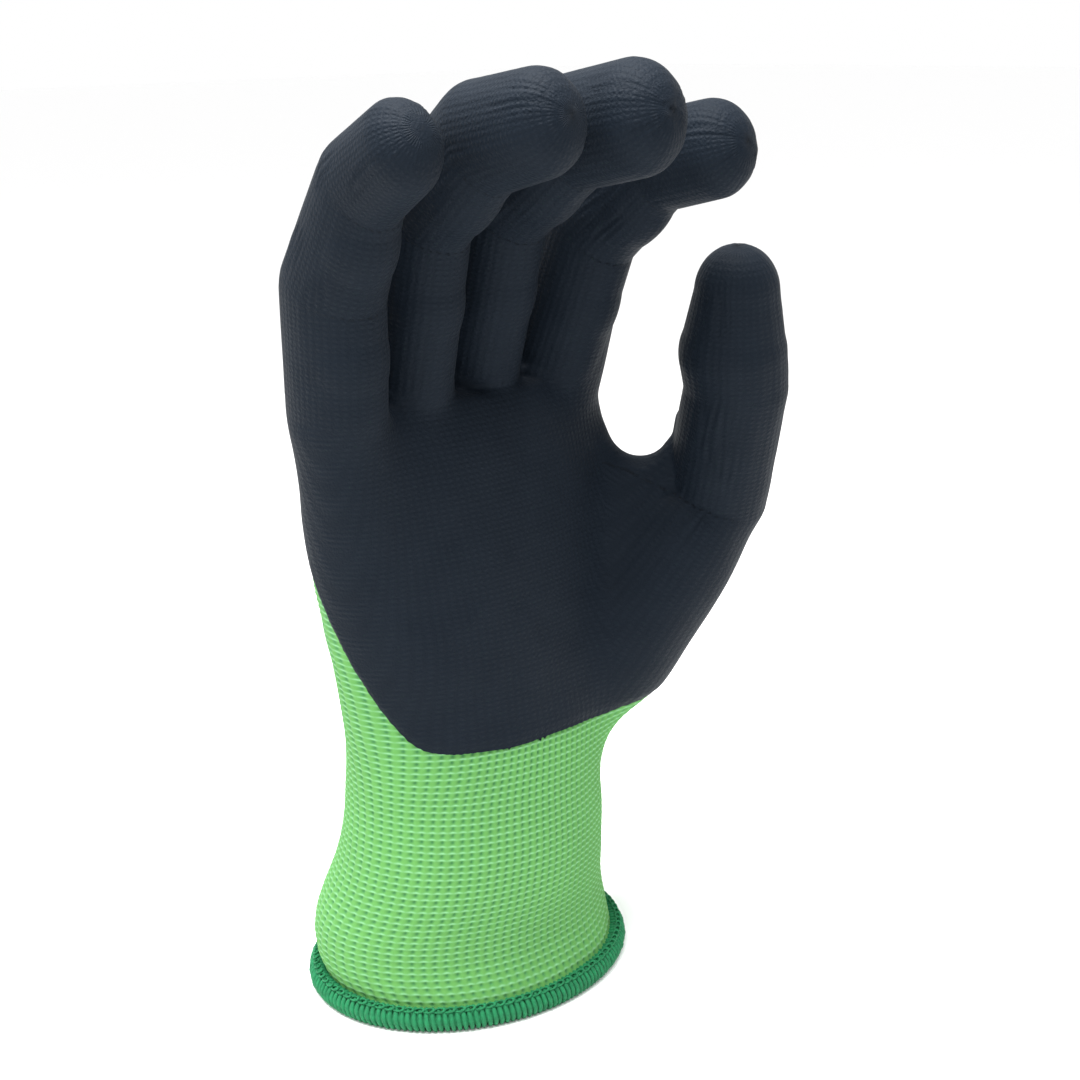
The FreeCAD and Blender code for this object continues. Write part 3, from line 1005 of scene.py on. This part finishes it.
# 1 at the centre, falling to 0 on both sides.
def bell(material, value, centre, width):
    offset = calc(material, "DIVIDE", calc(material, "SUBTRACT", value, centre), width)
    square = calc(material, "MULTIPLY", offset, offset)
    return calc(material, "POWER", math.e, calc(material, "MULTIPLY", square, -1.0))


def mixColours(material, share, first, second):
    mix = addNode(material, "ShaderNodeMix", data_type="RGBA")
    material.node_tree.links.new(share, mix.inputs[0])
    for socket, value in ((mix.inputs[6], first), (mix.inputs[7], second)):
        if isinstance(value, bpy.types.NodeSocket):
            material.node_tree.links.new(value, socket)
        else:
            socket.default_value = (*value, 1.0)
    return mix.outputs[2]


def stitchPlace(material):
    uv = addNode(material, "ShaderNodeUVMap", uv_map="stitches")
    parts = addNode(material, "ShaderNodeSeparateXYZ", {0: uv.outputs[0]})
    return parts.outputs[0], parts.outputs[1]


def addNoise(material, scale, detail=3.0):
    place = addNode(material, "ShaderNodeTexCoord").outputs["Object"]
    settings = {"Vector": place, "Scale": scale, "Detail": detail}
    return addNode(material, "ShaderNodeTexNoise", settings).outputs[0]


def finishMaterial(material, colour, height, strength, distance, roughness=None):
    shader = material.node_tree.nodes["Principled BSDF"]
    settings = {"Strength": strength, "Distance": distance * mm, "Height": height}
    bump = addNode(material, "ShaderNodeBump", settings)
    material.node_tree.links.new(colour, shader.inputs["Base Color"])
    material.node_tree.links.new(bump.outputs[0], shader.inputs["Normal"])
    if roughness is not None:
        material.node_tree.links.new(roughness, shader.inputs["Roughness"])
    return material


# Lime yarn, with painted shade darkening the pits, and paler on the bars above them: partly the pale mint
# yarn and partly a painted highlight on their raised tops.
def knitMaterial():
    material = newMaterial("lime_knit", 0.85, 0.04, specular=0.2)
    u, v = stitchPlace(material)
    across = calc(material, "FRACT", u)
    course = calc(material, "FRACT", v)
    # pit: where the painted shade in the recessed pits goes
    column = bell(material, across, 0.5, 0.19)
    pit = calc(material, "MULTIPLY", column, bell(material, course, 0.38, 0.25))
    # bars: where the pale mint yarn lies, which also carries a painted highlight on the raised bar tops
    bars = calc(material, "ADD", bell(material, course, 0.88, 0.15), bell(material, course, -0.12, 0.15))
    bar = calc(material, "MULTIPLY", bell(material, across, 0.5, 0.33), bars)
    bar = calc(material, "ADD", bar, calc(material, "MULTIPLY", bars, 0.25))
    fibre = addNoise(material, 2600.0, 4.0)
    patch = addNoise(material, 55.0)
    dull, bright = (tuple(share * c for c in colours["lime"]) for share in (0.88, 1.12))
    base = mixColours(material, patch, dull, bright)
    # pale mint yarn, partly a painted highlight on the raised bars
    base = mixColours(material, calc(material, "MULTIPLY", bar, 0.7), base, colours["mint"])
    # painted shade: the recessed pits are darkened towards the pit colour
    base = mixColours(material, calc(material, "MULTIPLY", pit, 0.75), base, colours["pit"])
    slant = calc(material, "ADD", v, calc(material, "MULTIPLY", u, 1.7))
    twist = calc(material, "SINE", calc(material, "MULTIPLY", slant, 18.8))
    height = calc(material, "ADD", fibre, calc(material, "MULTIPLY", twist, 0.35))
    return finishMaterial(material, base, height, 0.55, 0.12)


# Matt foam coat with the knit's stitch columns showing through, and a painted highlight lightening the
# raised stitch dots.
def foamMaterial():
    material = newMaterial("foam_coat", 0.62, 0.01, specular=0.08)
    u, v = stitchPlace(material)
    column = calc(material, "COSINE", calc(material, "MULTIPLY", u, 2 * math.pi / coat["columnPitch"]))
    stitch = calc(material, "COSINE", calc(material, "MULTIPLY", v, 2 * math.pi / 1.25))
    columnShare, stitchShare = calc(material, "ADD", column, 1.0), calc(material, "ADD", stitch, 1.3)
    dots = calc(material, "MULTIPLY", columnShare, stitchShare)
    pores = addNoise(material, 2000.0, 4.0)
    patch = addNoise(material, 120.0)
    raised = calc(material, "MULTIPLY", dots, 0.06)
    # painted highlight: the foam is made lighter where the stitch dots are raised
    patched, paintedDotHighlight = calc(material, "MULTIPLY", patch, 0.45), calc(material, "MULTIPLY", dots, 0.05)
    share = calc(material, "ADD", patched, paintedDotHighlight)
    base = mixColours(material, share, colours["foam"], colours["foamLight"])
    height = calc(material, "ADD", calc(material, "MULTIPLY", pores, 0.55), raised)
    rough = calc(material, "ADD", 0.50, calc(material, "MULTIPLY", pores, 0.22))
    return finishMaterial(material, base, height, 0.9, 0.45, rough)


def threadMaterial():
    material = newMaterial("hem_thread", 0.7, 0.04, specular=0.25)
    patch = addNoise(material, 900.0)
    base = mixColours(material, patch, colours["hemDark"], tuple(1.5 * c for c in colours["hem"]))
    return finishMaterial(material, base, addNoise(material, 4200.0, 4.0), 0.5, 0.10)


def elasticMaterial():
    material = newMaterial("pale_elastic", 0.6, 0.2)
    wave = addNoise(material, 1500.0)
    base = mixColours(material, wave, tuple(0.75 * c for c in colours["elastic"]), colours["elastic"])
    return finishMaterial(material, base, wave, 0.4, 0.15)


def dress(obj, material):
    obj.data.materials.clear()
    obj.data.materials.append(material)


lime, foam, thread, pale = knitMaterial(), foamMaterial(), threadMaterial(), elasticMaterial()
for piece in coatPieces.values():
    dress(piece, foam)
for piece in list(knitPieces.values()) + list(liningPieces.values()):
    dress(piece, lime)
for piece in hemPieces:
    dress(piece, thread)
elastic = frame["nodes"]["cuff_elastic"]
elastic.data.materials.clear()
elastic.data.materials.append(pale)
print("finishes done")


# Pieces to bodies: the palm pieces, the palm and cuff knit and the hem are attached to their bodies; the
# other pieces only have their transforms applied.
for number, piece in coatPieces.items():
    bindPiece(piece, number)
for number, piece in liningPieces.items():
    bindPiece(piece, number)
for name, body in (("cuff", "cuff"), ("palm", "palm")):
    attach(knitPieces[name], body)
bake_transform(knitPieces["wrist"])
bindPiece(knitPieces["thumb"], 13)
for piece in hemPieces:
    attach(piece, "cuff")

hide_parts("palm_coat")
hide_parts("palm_liner")
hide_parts("cuff_knit")
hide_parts("wrist_knit")
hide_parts("cuff_hem")
for k, name in enumerate(fingerNames):
    for stage, (phalanx, fold) in enumerate((("proximal", "root"), ("middle", "middle"), ("tip", "tip"))):
        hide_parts(name + "_" + phalanx + "_coat")
        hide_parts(name + "_" + phalanx + "_liner", name + "_" + fold + "_fold")
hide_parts("thumb_web", "thumb_base_coat")
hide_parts("thumb_base_liner")
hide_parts("thumb_proximal_coat")
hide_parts("thumb_root_fold", "thumb_proximal_liner")
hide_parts("thumb_tip_coat")
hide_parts("thumb_tip_fold", "thumb_tip_liner")
bpy.data.objects.remove(skin)


# Floor, light and camera.
studio = {
    "floor": (0.99, 0.99, 0.99),
    "world": 1.0,
    "keySize": 0.42, "keyPower": 9.0, "keyPlace": (-0.10, 0.0, 0.62),
    "fillSize": 0.5, "fillPower": 0.5, "fillPlace": (-0.75, -0.25, 0.35),
}
shot = {"azimuth": -41.82, "elevation": 16.09, "distance": 432.1, "target": (15.6, -11.97, 107.8),
        "roll": -1.06, "lens": 60.7}


def makeFloor():
    bpy.ops.mesh.primitive_plane_add(size=12.0)
    floor = bpy.context.object
    floor.name = "floor"
    material = bpy.data.materials.new("pale_floor")
    material.use_nodes = True
    shader = material.node_tree.nodes["Principled BSDF"]
    shader.inputs["Base Color"].default_value = (*studio["floor"], 1.0)
    shader.inputs["Roughness"].default_value = 0.9
    floor.data.materials.append(material)


def makeWorld():
    world = bpy.data.worlds.new("studio")
    world.use_nodes = True
    world.node_tree.nodes["Background"].inputs[0].default_value = (1.0, 1.0, 1.0, 1.0)
    world.node_tree.nodes["Background"].inputs[1].default_value = studio["world"]
    bpy.context.scene.world = world


def addLight(name):
    bpy.ops.object.light_add(type="AREA", location=studio[name + "Place"])
    light = bpy.context.object
    light.name = name + "_light"
    light.data.energy = studio[name + "Power"]
    light.data.size = studio[name + "Size"]
    light.visible_camera = False
    way = Vector(studio[name + "Place"]) - Vector((0, 0, 0.11))
    light.rotation_euler = way.to_track_quat("Z", "Y").to_euler()


def addCamera():
    a, e, roll = (math.radians(shot[key]) for key in ("azimuth", "elevation", "roll"))
    back = Vector((math.sin(a) * math.cos(e), -math.cos(a) * math.cos(e), math.sin(e)))
    right = Vector((math.cos(a), math.sin(a), 0))
    up = back.cross(right)
    c, s = math.cos(roll), math.sin(roll)
    right, up = right * c + up * s, up * c - right * s
    bpy.ops.object.camera_add()
    camera = bpy.context.object
    place = (Vector(shot["target"]) + back * shot["distance"]) * mm
    camera.matrix_world = Matrix.Translation(place) @ Matrix((right, up, back)).transposed().to_4x4()
    camera.data.lens = shot["lens"]
    camera.data.sensor_width = 36.0
    camera.data.clip_start = 0.01
    bpy.context.scene.camera = camera


makeFloor()
makeWorld()
addLight("key")
addLight("fill")
addCamera()
bpy.context.scene.view_settings.view_transform = "Standard"
print("studio done")
